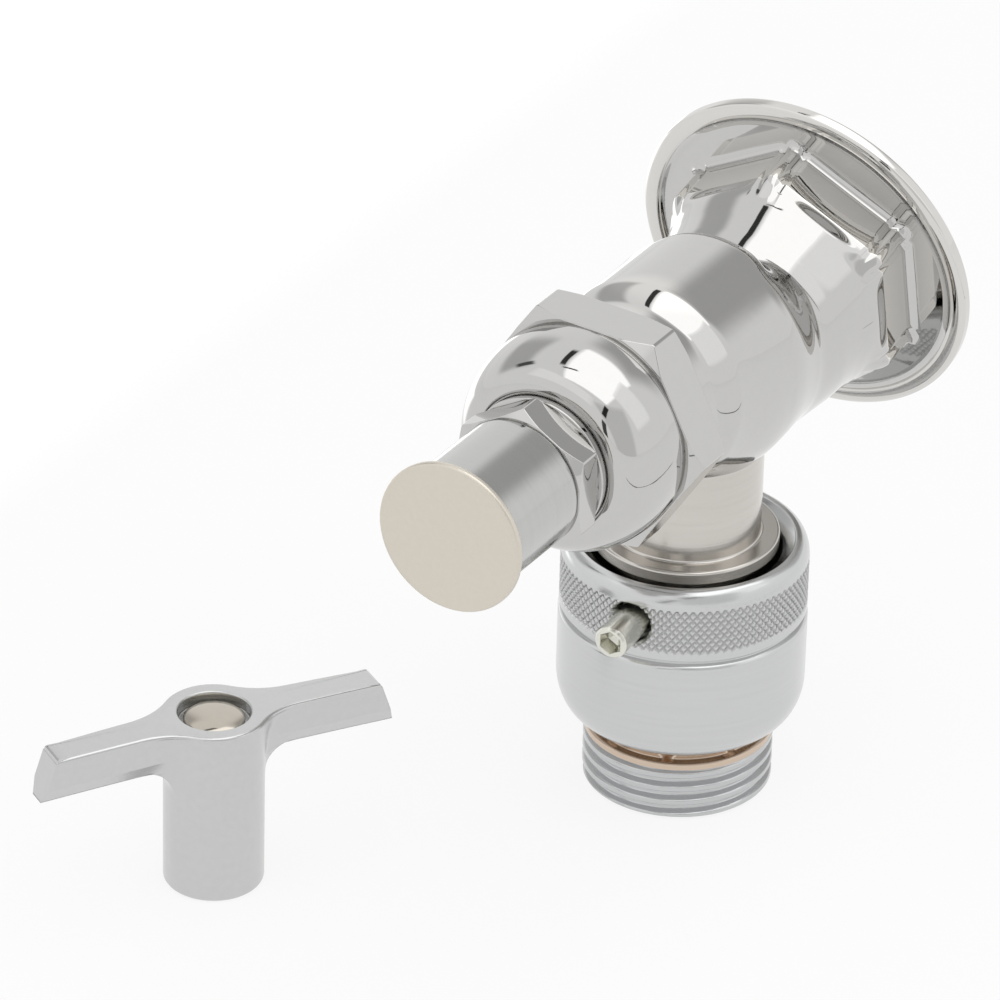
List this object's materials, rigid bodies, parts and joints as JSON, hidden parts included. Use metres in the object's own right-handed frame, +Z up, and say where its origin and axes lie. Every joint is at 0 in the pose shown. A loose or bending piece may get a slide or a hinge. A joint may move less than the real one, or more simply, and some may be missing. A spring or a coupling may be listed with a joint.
{
  "type": "sill faucet",
  "caption": "Wall-mounted loose-key sill faucet with a tilted globe valve, lock shield and cap, hose-thread vacuum breaker and separate tee key.",
  "frame": {"origin": "centre of the hose outlet's bottom face, on the surface that the faucet stands on", "axes": "+Z up along the spout and hose outlet, -Y along the valve axis toward the lock shield, +X to the right seen from the lock shield"},
  "size_m": [0.0813, 0.1205, 0.0949],
  "materials": {
    "polished_chrome": "mirror-bright chrome plate",
    "satin_chrome": "satin chrome plate",
    "key_chrome": "satin chrome plate over a cast surface",
    "warm_nickel": "warm satin nickel",
    "zinc": "pale yellow zinc plate",
    "brass": "machined brass",
    "spring_steel": "drawn stainless wire",
    "tool_steel": "dark hardened steel",
    "rubber": "moulded rubber",
    "packing": "graphited packing",
    "white_plastic": "moulded acetal"
  },
  "bodies": {
    "fixed_valve": {"faucet_body": "polished_chrome", "seat_ring": "brass", "bonnet": "polished_chrome", "bonnet_gasket": "rubber", "packing_washer": "brass", "stem_packing": "packing", "gland_ring": "brass", "packing_nut": "polished_chrome", "lock_shield": "satin_chrome", "breaker_shell": "satin_chrome", "breaker_set_screw": "zinc", "hose_washer": "rubber", "breaker_seat_plate": "brass", "breaker_diaphragm": "rubber", "breaker_outlet": "satin_chrome", "spring_guide": "white_plastic"},
    "cap": {"shield_cap": "warm_nickel"},
    "disc": {"disc_holder": "brass", "seat_washer": "rubber", "washer_screw": "brass"},
    "turning_stem": {"stem": "brass"},
    "poppet": {"breaker_poppet": "white_plastic", "poppet_seal": "rubber", "breaker_spring": "spring_steel"},
    "tee_key": {"key_handle": "key_chrome", "key_insert": "tool_steel", "key_button": "warm_nickel"}
  },
  "joints": [
    {"name": "disc_lift", "type": "slide", "parent": "fixed_valve", "child": "disc", "axis": [0, -1, 0], "range_m": [0, 0.00438]},
    {"name": "stem_turn", "type": "hinge", "parent": "disc", "child": "turning_stem", "pos_m": [0, -0.02, 0.0697], "axis": [0, -1, 0], "range_deg": [0, 630]},
    {"name": "cap_pull", "type": "slide", "parent": "fixed_valve", "child": "cap", "axis": [0, -1, 0], "range_m": [0, 0.014]},
    {"name": "poppet_drop", "type": "slide", "parent": "fixed_valve", "child": "poppet", "axis": [0, 0, -1], "range_m": [0, 0.003], "stiffness_N_per_m": 250, "springref_m": -0.004, "deforming": ["breaker_spring"]},
    {"name": "key_lift", "type": "slide", "parent": "fixed_valve", "child": "tee_key", "axis": [0, 0, 1], "range_m": [0, 0.05]}
  ],
  "couplings": [
    {"joint": "stem_turn", "follows": "disc_lift", "rad_per_m": 2513.3}
  ]
}
